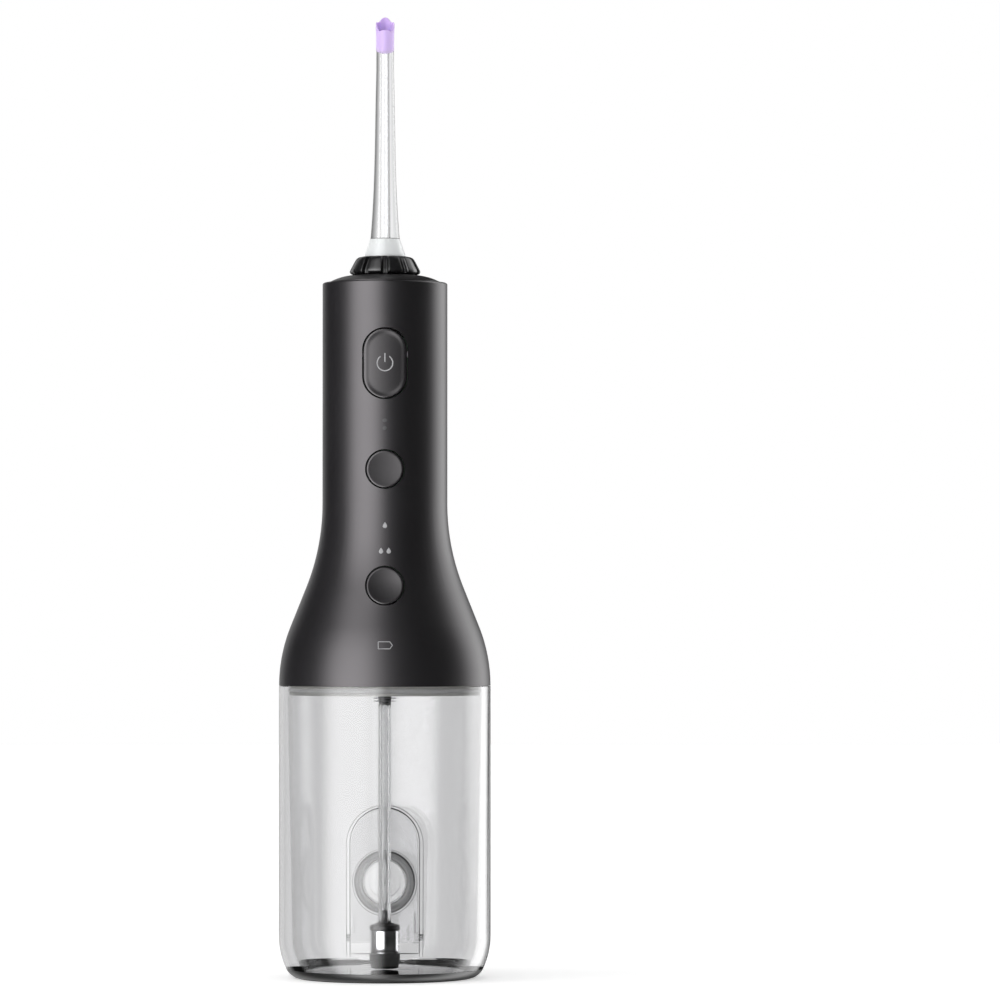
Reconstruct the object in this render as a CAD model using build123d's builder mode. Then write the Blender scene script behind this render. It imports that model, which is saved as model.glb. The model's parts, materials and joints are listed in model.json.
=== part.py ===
from build123d import *
import os
from math import asin, atan, cos, degrees, radians, sin, sqrt, tan

os.makedirs("parts", exist_ok=True)

# A cordless water flosser standing on its tank. Millimetres, +Z up, front towards -Y,
# origin at the middle of the underside.

# ---- driving dimensions ----
# tank
tank_r = 33.5  # outside radius of the tank and of the handle's foot
tank_top = 92.2  # rim of the tank
mouth_wall = 2.7  # the tank's wall at the rim
corner_wall = 4.2  # and round the lower corner, thicker for the mould's draft
tank_floor = 2.2  # inside floor
floor_t = 1.2  # thickness of the clear floor
corner_h = 13.2  # height where the rounded lower corner ends
base_top = 3.0  # rim of the black base cup
base_inset = 2.3  # from the tank's outside to the base cup's rim
lip_w = 3.2  # width of that rim
foot_inset = 6.0  # from the tank's outside to the edge of the flat foot
foot_w = 6.5  # width of the rubber foot ring
foot_t = 0.6

# fill door in the back of the tank
pocket_w = 23.0  # width of the arched pocket
pocket_top = 51.8
pocket_bottom = 5.2
pocket_depth = 6.7  # from the tank's outside to the pocket's flat back
pocket_wall = 1.5
door_gap = 0.3
door_t = 1.6
fill_z = 28.4  # centre of the fill hole
fill_r = 8.2
plug_flange_r = 9.8
door_hinge_inset = 4.5  # from the tank's outside to the hinge's axis
door_hinge_z = 10.5
door_pin_r = 1.0

# handle
seam_gap = 0.2
grip_r = 19.8  # radius of the straight grip
handle_h = 127.6  # from the seam to the edge of its flat top
flare_h = 57.6  # height of the flare between the foot and the grip
flare_extra = 8.422  # degrees that its straight stretch leans more than the line across it
shoulder_r = 50.0  # radius of the convex shoulder above the seam
wall = 2.0
cap_r = 17.55  # domed top cap
cap_dome = 2.4
cap_t = 5.4

# buttons
button_gap = 0.35
button_flange = 1.0
button_depth = 3.3
power_w = 13.7
power_h = 21.9
power_rise = 101.3  # centres of the three buttons above the seam
round_r = 5.9
pressure_rise = 68.1
mode_rise = 31.5
button_travel = 0.7

# tank coupling
spigot_play = 0.6  # between the handle's spigot and the tank's mouth
spigot_w = 2.3
spigot_h = 3.2
plate_t = 2.0
seal_play = 0.3
seal_h = 1.4

# hanging suction hose and its weight
hose_r = 2.0
hose_bore = 1.0
nipple_r = 2.1
nipple_drop = 6.8  # the fitting the hose hangs from ends this far below the seam
weight_top = 17.1
weight_bottom = 2.7
weight_r = 4.6

# pump and drive
pump_z = 12.6  # height of the pump's axis above the seam
pump_bore_r = 5.0
pump_r = 6.3
pump_len = 18.5
head_len = 7.5
piston_fit = 0.07
crank_throw = 2.0
rod_len = 14.0
rod_t = 2.0
module = 0.5
gear_teeth = 42
pinion_teeth = 12
gear_x = -7.0
gear_play = 0.05
gear_z = 20.6  # underside of the gears above the seam
gear_t = 3.0
valve_ball_r = 1.5
motor_r = 10.2
motor_len = 28.0
shaft_r = 1.0

# power and electronics
cell_r = 7.0
cell_len = 50.0
cell_x = 7.5
board_w = 22.0
board_y = -12.6  # front face of the circuit board
board_t = 1.2
socket_drop = 17.2  # nozzle socket's base below the handle's top
port_z = 8.6  # charging port above the seam

# nozzle
knob_bottom = 2.6  # above the handle's top
knob_h = 5.7
knob_r = 11.2
knob_top_r = 8.8
knob_edge = 1.2  # height of its rounded lower edge
knob_lobes = 10
groove_r = 1.5
hub_r = 6.0
hub_gap = 0.3
stem_r = 3.55
stem_fit = 0.1
stem_len = 22.7
collar_r = 6.4
collar_h = 5.6
tube_base_r = 4.63
tube_top_r = 2.78
tube_straight = 59.3  # from the knob's top to the start of the bend
bend_r = 15.0
bend_angle = 28.0
tip_len = 9.6

# ---- derived places ----
tank_mouth_r = tank_r - mouth_wall
corner_inside_r = tank_r - corner_wall
base_r = tank_r - base_inset
foot_r = tank_r - foot_inset
pocket_y = tank_r - pocket_depth
door_hinge_y = tank_r - door_hinge_inset
spigot_r = tank_mouth_r - spigot_play
seal_r = tank_mouth_r - seal_play
corner_r = ((tank_r - base_r) ** 2 + (corner_h - base_top) ** 2) / (2 * (tank_r - base_r))
corner_turn = asin((corner_h - base_top) / corner_r)
seam = tank_top + seam_gap  # lowest edge of the handle
handle_top = seam + handle_h
power_z = seam + power_rise
pressure_z = seam + pressure_rise
mode_z = seam + mode_rise
nipple_end = seam - nipple_drop
flare_lean = atan((tank_r - grip_r) / flare_h) + radians(flare_extra)
shoulder_sum = (flare_h * tan(flare_lean) - (tank_r - grip_r)) * cos(flare_lean) / (1 - cos(flare_lean))
waist_r = shoulder_sum - shoulder_r  # radius of the concave waist
plate_z = seam + 0.2
plate_top = plate_z + plate_t
pump_axis = seam + pump_z
gear_low = seam + gear_z
gear_high = gear_low + gear_t
gearbox_low = gear_high + 1.0
gearbox_t = 2.0
motor_low = gearbox_low + gearbox_t
motor_x = gear_x + module * (gear_teeth + pinion_teeth) / 2 + gear_play
socket_low = handle_top - socket_drop
rack_t = 1.5
contact_t = 0.5
cell_top = socket_low - rack_t - contact_t
cell_low = cell_top - cell_len
knob_low = handle_top + knob_bottom
knob_high = knob_low + knob_h
board_back = board_y + board_t
hose_route_y = 13.0


def finish(builder, name):
    """Label a finished piece and write it."""
    builder.part.label = name
    export_step(builder.part, f"parts/{name}.step")


def turned(outline):
    """Solid of revolution about the body's axis, from (radius, height) corners."""
    with BuildPart() as piece:
        with BuildSketch(Plane.XZ):
            with BuildLine():
                Polyline(*outline, close=True)
            make_face()
        revolve(axis=Axis.Z)
    return piece.part


def handle_form(inset):
    """Everything inside the handle's skin, with the skin moved in by inset."""
    low = (tank_r - shoulder_r, seam)
    high = (grip_r + waist_r, seam + flare_h)
    out, over = shoulder_r - inset, waist_r + inset

    def on_shoulder(angle):
        return (low[0] + out * cos(angle), low[1] + out * sin(angle))

    def on_waist(angle):
        return (high[0] - over * cos(angle), high[1] - over * sin(angle))

    with BuildPart() as form:
        with BuildSketch(Plane.XZ):
            with BuildLine():
                Line((0, seam), on_shoulder(0))
                ThreePointArc(on_shoulder(0), on_shoulder(flare_lean / 2), on_shoulder(flare_lean))
                Line(on_shoulder(flare_lean), on_waist(flare_lean))
                ThreePointArc(on_waist(flare_lean), on_waist(flare_lean / 2), on_waist(0))
                Polyline(on_waist(0), (grip_r - inset, handle_top), (0, handle_top), (0, seam))
            make_face()
        revolve(axis=Axis.Z)
    return form.part


front = Plane.XZ
back = Plane(origin=(0, 0, 0), x_dir=(-1, 0, 0), z_dir=(0, 1, 0))


def skin_patch(outline, height, outer, inner, side=front):
    """Piece of the handle's skin under an outline, between two depths below the surface."""
    with BuildPart() as patch:
        with BuildSketch(side):
            with Locations((0, height)):
                add(outline)
        extrude(amount=2 * tank_r)
        add(handle_form(outer), mode=Mode.INTERSECT)
        add(handle_form(inner), mode=Mode.SUBTRACT)
    return patch.part


def arch(width, top, bottom):
    """Upright outline with a round top, centred on the axis."""
    with BuildSketch(mode=Mode.PRIVATE) as shape:
        with Locations((0, top - width / 2)):
            Circle(width / 2)
        with Locations((0, (top - width / 2 + bottom) / 2)):
            Rectangle(width, top - width / 2 - bottom)
    return shape.sketch


def rod(radius, low, high, x=0.0, y=0.0):
    """Upright cylinder between two heights."""
    with BuildPart() as piece:
        with BuildSketch(Plane.XY.offset(low)):
            with Locations((x, y)):
                Circle(radius)
        extrude(amount=high - low)
    return piece.part


def block(low, high):
    """Box between two corners."""
    size = [b - a for a, b in zip(low, high)]
    middle = [(a + b) / 2 for a, b in zip(low, high)]
    with BuildPart() as piece:
        with Locations(tuple(middle)):
            Box(*size)
    return piece.part


def lying(radius, x_low, x_high, z, y=0.0):
    """Cylinder along X between two places."""
    with BuildPart() as piece:
        with BuildSketch(Plane.YZ.offset(x_low)):
            with Locations((y, z)):
                Circle(radius)
        extrude(amount=x_high - x_low)
    return piece.part


# ================= reservoir =================
def tank_outside():
    """Everything inside the tank's outer surface."""
    with BuildPart() as form:
        with BuildSketch(Plane.XZ):
            with BuildLine():
                seat_r = base_r - lip_w - 0.1
                Polyline((0, tank_top), (0, tank_floor - floor_t), (seat_r, tank_floor - floor_t),
                         (seat_r, base_top), (base_r, base_top))
                half = corner_turn / 2
                middle = (tank_r - corner_r * (1 - cos(half)), corner_h - corner_r * sin(half))
                ThreePointArc((base_r, base_top), middle, (tank_r, corner_h))
                Polyline((tank_r, corner_h), (tank_r, tank_top), (0, tank_top))
            make_face()
        revolve(axis=Axis.Z)
    return form.part


def tank_inside():
    """The water space, whose lower corner keeps the wall's thickness."""
    arc_r = corner_r - corner_wall
    arc_turn = asin((corner_h - tank_floor) / arc_r)

    def on_corner(angle):
        return (corner_inside_r - arc_r * (1 - cos(angle)), corner_h - arc_r * sin(angle))

    with BuildPart() as form:
        with BuildSketch(Plane.XZ):
            with BuildLine():
                Line((0, tank_floor), on_corner(arc_turn))
                ThreePointArc(on_corner(arc_turn), on_corner(arc_turn / 2), on_corner(0))
                Polyline(on_corner(0), (tank_mouth_r, tank_top - 4), (tank_mouth_r, tank_top), (0, tank_top),
                         (0, tank_floor))
            make_face()
        revolve(axis=Axis.Z)
    return form.part


boss_w = pocket_w + 2 * pocket_wall
with BuildPart() as tank_shell:
    add(tank_outside())
    add(tank_inside(), mode=Mode.SUBTRACT)
    with BuildSketch(back.offset(pocket_y - pocket_wall)):
        add(arch(boss_w, pocket_top + pocket_wall, tank_floor - floor_t / 2))
    extrude(amount=tank_r - pocket_y)
    add(tank_outside(), mode=Mode.INTERSECT)
    with BuildSketch(back.offset(pocket_y)):
        add(arch(pocket_w, pocket_top, pocket_bottom))
    extrude(amount=tank_r, mode=Mode.SUBTRACT)
    with BuildSketch(back.offset(pocket_y - pocket_wall - 1)):
        with Locations((0, fill_z)):
            Circle(fill_r)
    extrude(amount=tank_r, mode=Mode.SUBTRACT)
    pin_reach = pocket_w / 2 + 1.6
    add(lying(door_pin_r + 0.08, -pin_reach, pin_reach, door_hinge_z, door_hinge_y), mode=Mode.SUBTRACT)
finish(tank_shell, "tank_shell")

with BuildPart() as tank_base:
    with BuildSketch(Plane.XZ):
        with BuildLine():
            foot_z = foot_t / 2
            lip_r = base_r - lip_w
            dish = tank_floor - floor_t - 0.05
            Polyline((0, foot_z), (foot_r + 1.0, foot_z))
            ThreePointArc((foot_r + 1.0, foot_z), ((foot_r + 1.0 + base_r) / 2 + 0.25, base_top * 0.48),
                          (base_r, base_top - 0.05))
            Polyline((base_r, base_top - 0.05), (lip_r, base_top - 0.05), (lip_r, dish), (0, dish),
                     (0, foot_z))
        make_face()
    revolve(axis=Axis.Z)
    add(turned([(foot_r - foot_w - 0.1, 0), (foot_r + 0.1, 0), (foot_r + 0.1, foot_t),
                (foot_r - foot_w - 0.1, foot_t)]), mode=Mode.SUBTRACT)
finish(tank_base, "tank_base")

with BuildPart() as foot_ring:
    add(turned([(foot_r - foot_w, 0), (foot_r, 0), (foot_r, foot_t), (foot_r - foot_w, foot_t)]))
finish(foot_ring, "foot_ring")

# ================= fill door =================
door_w = pocket_w - 2 * door_gap
door_bottom = door_hinge_z - 1.5
with BuildPart() as door_panel:
    with BuildSketch(back):
        add(arch(door_w, pocket_top - door_gap, door_bottom))
    extrude(amount=tank_r)
    add(rod(tank_r, door_bottom, pocket_top), mode=Mode.INTERSECT)
    add(rod(tank_r - door_t, door_bottom, pocket_top), mode=Mode.SUBTRACT)
    # side ears down to the hinge, each with its stub pin
    ear_y = sqrt((tank_r - door_t) ** 2 - (door_w / 2) ** 2) + 0.25
    for side in (-1, 1):
        ear_x = side * (door_w / 2 - 0.75)
        with BuildSketch(Plane.YZ.offset(ear_x)):
            with BuildLine():
                Polyline((door_hinge_y, door_hinge_z - 1.5), (ear_y, door_bottom),
                         (ear_y, door_hinge_z + 8), (door_hinge_y, door_hinge_z + 1.5), close=True)
            make_face()
            with Locations((door_hinge_y, door_hinge_z)):
                Circle(1.5)
        extrude(amount=0.75, both=True)
        pin_ends = sorted((side * (door_w / 2 - 1), side * (pocket_w / 2 + 1.3)))
        add(lying(door_pin_r, *pin_ends, door_hinge_z, door_hinge_y))
    # boss that carries the plug
    with BuildSketch(back.offset(pocket_y + 0.9)):
        with Locations((0, fill_z)):
            Circle(fill_r - 1.5)
            Circle(fill_r - 2.9, mode=Mode.SUBTRACT)
    extrude(amount=tank_r - door_t - pocket_y + 0.1)
    # thumb grooves near the top of the outer face
    with Locations(*[(0, tank_r, pocket_top - 7.0 - 2.2 * i) for i in range(3)]):
        Box(9.0, 0.8, 1.0, mode=Mode.SUBTRACT)
finish(door_panel, "door_panel")

with BuildPart() as fill_plug:
    with BuildSketch(back.offset(pocket_y + 0.05)):
        with Locations((0, fill_z)):
            Circle(plug_flange_r)
            Circle(fill_r - 1.45, mode=Mode.SUBTRACT)
    extrude(amount=1.1)
    with BuildSketch(back.offset(pocket_y - pocket_wall)):
        with Locations((0, fill_z)):
            Circle(fill_r - 0.35)
    extrude(amount=pocket_wall + 0.05)
    with BuildSketch(back.offset(pocket_y - 0.5)):
        with Locations((0, fill_z)):
            Circle(fill_r - 1.45)
    extrude(amount=3, mode=Mode.SUBTRACT)
finish(fill_plug, "fill_plug")

# ================= handle: shells =================
boss_ring = spigot_r - spigot_w - 3.0  # circle of the three screw bosses
boss_angles = (40, 140, 270)
boss_at = [(boss_ring * cos(radians(a)), boss_ring * sin(radians(a))) for a in boss_angles]
power_outline = SlotOverall(power_h, power_w, rotation=90, mode=Mode.PRIVATE)
power_hole = SlotOverall(power_h + 2 * button_gap, power_w + 2 * button_gap, rotation=90, mode=Mode.PRIVATE)
round_hole = Circle(round_r + button_gap, mode=Mode.PRIVATE)
port_low = seam + port_z - 4.0
port_high = seam + port_z + 4.7
with BuildPart() as housing:
    add(handle_form(0))
    fillet(housing.edges().filter_by(GeomType.CIRCLE).group_by(Axis.Z)[-1], 0.6)
    add(handle_form(wall), mode=Mode.SUBTRACT)
    for x, y in boss_at:
        add(rod(2.6, plate_top + 0.1, plate_top + 7, x, y))
    for a in boss_angles:
        mid_r = (boss_ring + tank_r - wall / 2) / 2
        place = (mid_r * cos(radians(a)), mid_r * sin(radians(a)), plate_top + 3.6)
        with Locations(Location(place, (0, 0, a))):
            Box(tank_r - wall / 2 - boss_ring, 1.6, 6.8)
    add(handle_form(0), mode=Mode.INTERSECT)
    for x, y in boss_at:
        add(rod(1.05, plate_top, plate_top + 6, x, y), mode=Mode.SUBTRACT)
    for outline, height in ((power_hole, power_z), (round_hole, pressure_z), (round_hole, mode_z)):
        add(skin_patch(outline, height, -1, wall + 1.0), mode=Mode.SUBTRACT)
    with BuildSketch(back.offset(tank_r / 2)):
        with Locations((0, (port_low + port_high) / 2)):
            RectangleRounded(14.0, port_high - port_low, 1.6)
    extrude(amount=tank_r, mode=Mode.SUBTRACT)
finish(housing, "housing")

cap_low = handle_top + cap_dome - cap_t
with BuildPart() as top_cap:
    with BuildSketch(Plane.XZ):
        with BuildLine():
            rim_r = hub_r + hub_gap
            dome_z = handle_top + cap_dome
            Polyline((cap_r, handle_top + 0.3), (cap_r, cap_low), (rim_r, cap_low), (rim_r, dome_z),
                     (rim_r + 3.3, dome_z))
            ThreePointArc((rim_r + 3.3, dome_z), ((rim_r + 3.3 + cap_r) / 2 + 0.6, dome_z - 0.72),
                          (cap_r, handle_top + 0.3))
        make_face()
    revolve(axis=Axis.Z)
    # hollow underside
    add(turned([(rim_r + 1.6, cap_low - 1), (cap_r - 1.6, cap_low - 1), (cap_r - 1.6, cap_low + 2.8),
                (rim_r + 1.6, cap_low + 2.8)]), mode=Mode.SUBTRACT)
finish(top_cap, "top_cap")

with BuildPart() as floor_plate:
    plate_r = tank_r - wall - 0.35
    spigot_low = plate_z - spigot_h
    add(rod(plate_r, plate_z, plate_top))
    add(turned([(spigot_r - spigot_w, spigot_low), (spigot_r, spigot_low), (spigot_r, plate_z),
                (spigot_r - spigot_w, plate_z)]))
    groove_low = spigot_low + 0.8
    add(turned([(spigot_r - 0.9, groove_low), (spigot_r + 1, groove_low),
                (spigot_r + 1, groove_low + seal_h), (spigot_r - 0.9, groove_low + seal_h)]),
        mode=Mode.SUBTRACT)
    add(rod(nipple_r + 0.02, spigot_low, plate_top + 1), mode=Mode.SUBTRACT)
    for x, y in boss_at:
        add(rod(1.3, plate_z - 1, plate_top + 1, x, y), mode=Mode.SUBTRACT)
        add(rod(2.4, plate_z - spigot_h - 1, plate_z + 1.2, x, y), mode=Mode.SUBTRACT)
finish(floor_plate, "floor_plate")

with BuildPart() as tank_seal:
    add(turned([(spigot_r - 0.88, groove_low + 0.05), (seal_r - 0.3, groove_low + 0.05),
                (seal_r, groove_low + 0.35), (seal_r, groove_low + seal_h - 0.35),
                (seal_r - 0.3, groove_low + seal_h - 0.05), (spigot_r - 0.88, groove_low + seal_h - 0.05)]))
finish(tank_seal, "tank_seal")

with BuildPart() as plate_screws:
    for x, y in boss_at:
        add(rod(2.1, plate_z + 0.1, plate_z + 1.2, x, y))
        add(rod(1.0, plate_z + 1.2, plate_top + 5.5, x, y))
finish(plate_screws, "plate_screws")

# ================= handle: water path =================
socket_ball_z = nipple_end + nipple_r
with BuildPart() as hose_fitting:
    add(rod(nipple_r, socket_ball_z, plate_top - 0.02))
    with Locations((0, 0, socket_ball_z)):
        Sphere(nipple_r)
    add(rod(hose_bore, nipple_end - 1, plate_top + 1), mode=Mode.SUBTRACT)
finish(hose_fitting, "hose_fitting")

head_x = pump_len
valve_x = head_x + 2.6
duct_z = plate_top + 2.0
manifold_top = plate_top + 4.0
with BuildPart() as inlet_manifold:
    add(block((-4, -4, plate_top), (head_x + head_len, 4, manifold_top)))
    add(rod(hose_bore, plate_top - 1, duct_z), mode=Mode.SUBTRACT)
    add(lying(hose_bore, -1, valve_x, duct_z), mode=Mode.SUBTRACT)
    add(rod(hose_bore, duct_z, manifold_top + 1, valve_x), mode=Mode.SUBTRACT)
finish(inlet_manifold, "inlet_manifold")

with BuildPart() as pump_body:
    add(lying(pump_r, 0, pump_len, pump_axis))
    add(block((1, -4, manifold_top), (pump_len, 4, pump_axis - 4)))
    add(lying(pump_bore_r, -1, pump_len + 1, pump_axis), mode=Mode.SUBTRACT)
finish(pump_body, "pump_body")

inlet_seat = manifold_top + 1.9
outlet_seat = pump_axis + 3.7
ball_lift = sqrt(valve_ball_r**2 - hose_bore**2) + 0.05
head_top = outlet_seat + 3.9
with BuildPart() as pump_head:
    add(block((head_x, -6, manifold_top), (head_x + head_len, 6, head_top)))
    add(lying(1.5, head_x - 1, valve_x + 1, pump_axis + 1.2), mode=Mode.SUBTRACT)
    add(rod(hose_bore, manifold_top - 1, pump_axis, valve_x), mode=Mode.SUBTRACT)
    add(rod(valve_ball_r + 0.4, inlet_seat, inlet_seat + 3.8, valve_x), mode=Mode.SUBTRACT)
    add(rod(hose_bore, pump_axis, head_top + 1, valve_x), mode=Mode.SUBTRACT)
    add(rod(valve_ball_r + 0.4, outlet_seat, head_top - 0.4, valve_x), mode=Mode.SUBTRACT)
finish(pump_head, "pump_head")

with BuildPart() as inlet_ball:
    with Locations((valve_x, 0, inlet_seat + ball_lift)):
        Sphere(valve_ball_r)
finish(inlet_ball, "inlet_ball")

with BuildPart() as outlet_ball:
    with Locations((valve_x, 0, outlet_seat + ball_lift)):
        Sphere(valve_ball_r)
finish(outlet_ball, "outlet_ball")

spout_low = socket_low - 3.0
outlet_route = [(valve_x, 0, head_top), (valve_x, 0, head_top + 5.5), (15.0, 11.0, head_top + 15.5),
                (3.0, 14.0, head_top + 34), (0, hose_route_y, head_top + 48), (0, hose_route_y, spout_low)]
with BuildPart() as outlet_hose:
    with BuildLine() as route:
        FilletPolyline(*outlet_route, radius=4.0)
    with BuildSketch(Plane(origin=route.line @ 0, z_dir=route.line % 0)):
        Circle(hose_r - 0.2)
        Circle(hose_bore, mode=Mode.SUBTRACT)
    sweep(path=route.line)
finish(outlet_hose, "outlet_hose")

with BuildPart() as nozzle_socket:
    hub_foot = handle_top - 5.5  # underside of the turning ring's flange
    duct = socket_low + 1.4
    add(rod(6.5, socket_low, hub_foot - 0.3))
    add(block((-3, 0, socket_low), (3, hose_route_y + 2.8, socket_low + 2.8)))
    add(rod(hose_r, spout_low, socket_low + 1, 0, hose_route_y))
    add(rod(stem_r + stem_fit, knob_high - stem_len - 0.3, hub_foot, 0, 0), mode=Mode.SUBTRACT)
    add(rod(hose_bore, duct, knob_high - stem_len, 0, 0), mode=Mode.SUBTRACT)
    with BuildSketch(back):
        with Locations((0, duct)):
            Circle(hose_bore * 0.7)
    extrude(amount=hose_route_y, mode=Mode.SUBTRACT)
    add(rod(hose_bore, spout_low - 1, duct + 0.2, 0, hose_route_y), mode=Mode.SUBTRACT)
finish(nozzle_socket, "nozzle_socket")

# ================= handle: drive =================
with BuildPart() as gearbox_plate:
    add(block((-19, -11.2, gearbox_low), (16.4, 11.2, gearbox_low + gearbox_t)))
    for x in (-16, 12):
        for y in (-9.5, 9.5):
            add(rod(1.8, plate_top, gearbox_low, x, y))
    add(rod(1.5, gearbox_low - 1, motor_low + 1, gear_x), mode=Mode.SUBTRACT)
    add(rod(3.2, gearbox_low - 1, motor_low + 1, motor_x), mode=Mode.SUBTRACT)
    for y in (-7.5, 7.5):
        add(rod(1.05, gearbox_low - 1, motor_low + 1, motor_x, y), mode=Mode.SUBTRACT)
finish(gearbox_plate, "gearbox_plate")

with BuildPart() as gear_axle:
    add(rod(1.5, gear_low + 0.2, motor_low - 0.1, gear_x))
finish(gear_axle, "gear_axle")

motor_high = motor_low + motor_len
with BuildPart() as motor_can:
    add(rod(motor_r, motor_low, motor_high - 2.0, motor_x))
    add(rod(motor_r - 0.8, motor_low + 1.2, motor_high, motor_x), mode=Mode.SUBTRACT)
    add(rod(shaft_r + 0.08, motor_low - 1, motor_low + 2, motor_x), mode=Mode.SUBTRACT)
    for y in (-7.5, 7.5):
        add(rod(1.05, motor_low - 1, motor_low + 2, motor_x, y), mode=Mode.SUBTRACT)
finish(motor_can, "motor_can")

with BuildPart() as motor_endcap:
    add(rod(motor_r, motor_high - 2.0, motor_high - 0.6, motor_x))
    add(rod(3.0, motor_high - 0.6, motor_high + 0.2, motor_x))
    add(rod(shaft_r + 0.08, motor_high - 3, motor_high - 0.6, motor_x), mode=Mode.SUBTRACT)
finish(motor_endcap, "motor_endcap")

with BuildPart() as motor_screws:
    for y in (-7.5, 7.5):
        add(rod(1.9, gearbox_low - 0.9, gearbox_low, motor_x, y))
        add(rod(1.0, gearbox_low, motor_low + 1.1, motor_x, y))
finish(motor_screws, "motor_screws")

with BuildPart() as motor_shaft:
    add(rod(shaft_r, gear_low - 0.6, motor_high - 1.0, motor_x))
finish(motor_shaft, "motor_shaft")

with BuildPart() as armature:
    add(rod(motor_r - 1.6, motor_low + 4, motor_high - 6, motor_x))
    add(rod(shaft_r, motor_low, motor_high, motor_x), mode=Mode.SUBTRACT)
finish(armature, "armature")


def gear_outline(teeth, turn):
    """Straight-sided teeth of the shared module, one tooth at the turn angle."""
    pitch_r = module * teeth / 2
    step = 360 / teeth
    levels = ((pitch_r - 1.25 * module, 0.56), (pitch_r, 0.29), (pitch_r + 0.9 * module, 0.15))
    corners = []
    for i in range(teeth):
        for radius, half in levels + levels[::-1]:
            rising = len(corners) % 6 < 3
            swing = (-half if rising else half) / radius
            angle = radians(turn + i * step) + swing
            corners.append((radius * cos(angle), radius * sin(angle)))
    with BuildSketch(mode=Mode.PRIVATE) as shape:
        with BuildLine():
            Polyline(*corners, close=True)
        make_face()
    return shape.sketch


with BuildPart() as drive_pinion:
    with BuildSketch(Plane.XY.offset(gear_low)):
        with Locations((motor_x, 0)):
            add(gear_outline(pinion_teeth, 180 / pinion_teeth))
            Circle(shaft_r, mode=Mode.SUBTRACT)
    extrude(amount=gear_t)
finish(drive_pinion, "drive_pinion")

crank_x = gear_x - crank_throw
with BuildPart() as crank_gear:
    with BuildSketch(Plane.XY.offset(gear_low)):
        with Locations((gear_x, 0)):
            add(gear_outline(gear_teeth, 0))
    extrude(amount=gear_t)
    add(rod(5.0, gear_low - 1.6, gear_low, gear_x))
    add(rod(1.55, gear_low + 0.1, gear_high + 1, gear_x), mode=Mode.SUBTRACT)
    add(rod(1.0, pump_axis - rod_t / 2 - 0.4, gear_low - 1.6, crank_x))
finish(crank_gear, "crank_gear")

with BuildPart() as connecting_rod:
    with BuildSketch(Plane.XY.offset(pump_axis - rod_t / 2)):
        with Locations((crank_x, 0)):
            Circle(2.4)
        with Locations((crank_x + rod_len, 0)):
            Circle(1.5)
        with Locations((crank_x + rod_len / 2, 0)):
            Rectangle(rod_len, 2.4)
        with Locations((crank_x, 0)):
            Circle(1.06, mode=Mode.SUBTRACT)
    extrude(amount=rod_t)
finish(connecting_rod, "connecting_rod")

crown_x = crank_x + rod_len + 2 * crank_throw + 2.0
piston_r = pump_bore_r - piston_fit
with BuildPart() as piston:
    add(lying(piston_r, crown_x - 8, crown_x + 2, pump_axis))
    add(lying(piston_r - 0.95, crown_x - 9, crown_x, pump_axis), mode=Mode.SUBTRACT)
    add(lying(piston_r + 1, crown_x + 0.5, crown_x + 1.5, pump_axis), mode=Mode.SUBTRACT)
    add(lying(piston_r - 0.8, crown_x + 0.4, crown_x + 1.6, pump_axis))
finish(piston, "piston")

with BuildPart() as piston_seal:
    add(lying(piston_r + 0.03, crown_x + 0.55, crown_x + 1.45, pump_axis))
    add(lying(piston_r - 0.78, crown_x, crown_x + 2, pump_axis), mode=Mode.SUBTRACT)
finish(piston_seal, "piston_seal")

# ================= handle: power and electronics =================
with BuildPart() as battery_cells:
    for x in (-cell_x, cell_x):
        add(rod(cell_r, cell_low, cell_top - 1.0, x))
        add(rod(2.6, cell_top - 1.0, cell_top, x))
finish(battery_cells, "battery_cells")

with BuildPart() as battery_contacts:
    add(block((-12, -4, cell_low - contact_t), (12, 4, cell_low)))
    for x in (-cell_x, cell_x):
        add(block((x - 4, -4, cell_top), (x + 4, 4, cell_top + contact_t)))
finish(battery_contacts, "battery_contacts")

rack_y = -cell_r - 0.8
with BuildPart() as chassis:
    rack_low = cell_low - contact_t - rack_t
    add(block((-board_w / 2 + 0.5, rack_y - 1.8, rack_low), (board_w / 2 - 0.5, rack_y, socket_low)))
    for low in (rack_low, cell_top + contact_t):
        add(block((-grip_r, rack_y - 1.8, low), (grip_r, 8.0, low + rack_t)))
    for x in (-8.5, 8.5):
        for z in (rack_low + 6, socket_low - 6):
            with Locations((x, (board_back + rack_y - 1.8) / 2, z)):
                Box(3.6, rack_y - 1.8 - board_back, 3.6)
    add(handle_form(wall + 0.3), mode=Mode.INTERSECT)
    for x in (-8.5, 8.5):
        for z in (rack_low + 6, socket_low - 6):
            with BuildSketch(front.offset(-rack_y + 1.0)):
                with Locations((x, z)):
                    Circle(0.85)
            extrude(amount=6, mode=Mode.SUBTRACT)
finish(chassis, "chassis")

board_low = gearbox_low + 2.0
with BuildPart() as circuit_board:
    add(block((-board_w / 2, board_y, board_low), (board_w / 2, board_back, socket_low)))
    for x in (-8.5, 8.5):
        for z in (rack_low + 6, socket_low - 6):
            with BuildSketch(front.offset(-board_back - 1)):
                with Locations((x, z)):
                    Circle(1.0)
            extrude(amount=4, mode=Mode.SUBTRACT)
finish(circuit_board, "circuit_board")

with BuildPart() as board_screws:
    for x in (-8.5, 8.5):
        for z in (rack_low + 6, socket_low - 6):
            with BuildSketch(front.offset(-board_y)):
                with Locations((x, z)):
                    Circle(1.7)
            extrude(amount=0.9)
            with BuildSketch(front.offset(-rack_y + 1.2)):
                with Locations((x, z)):
                    Circle(0.8)
            extrude(amount=-board_y + rack_y - 1.2)
finish(board_screws, "board_screws")

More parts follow.
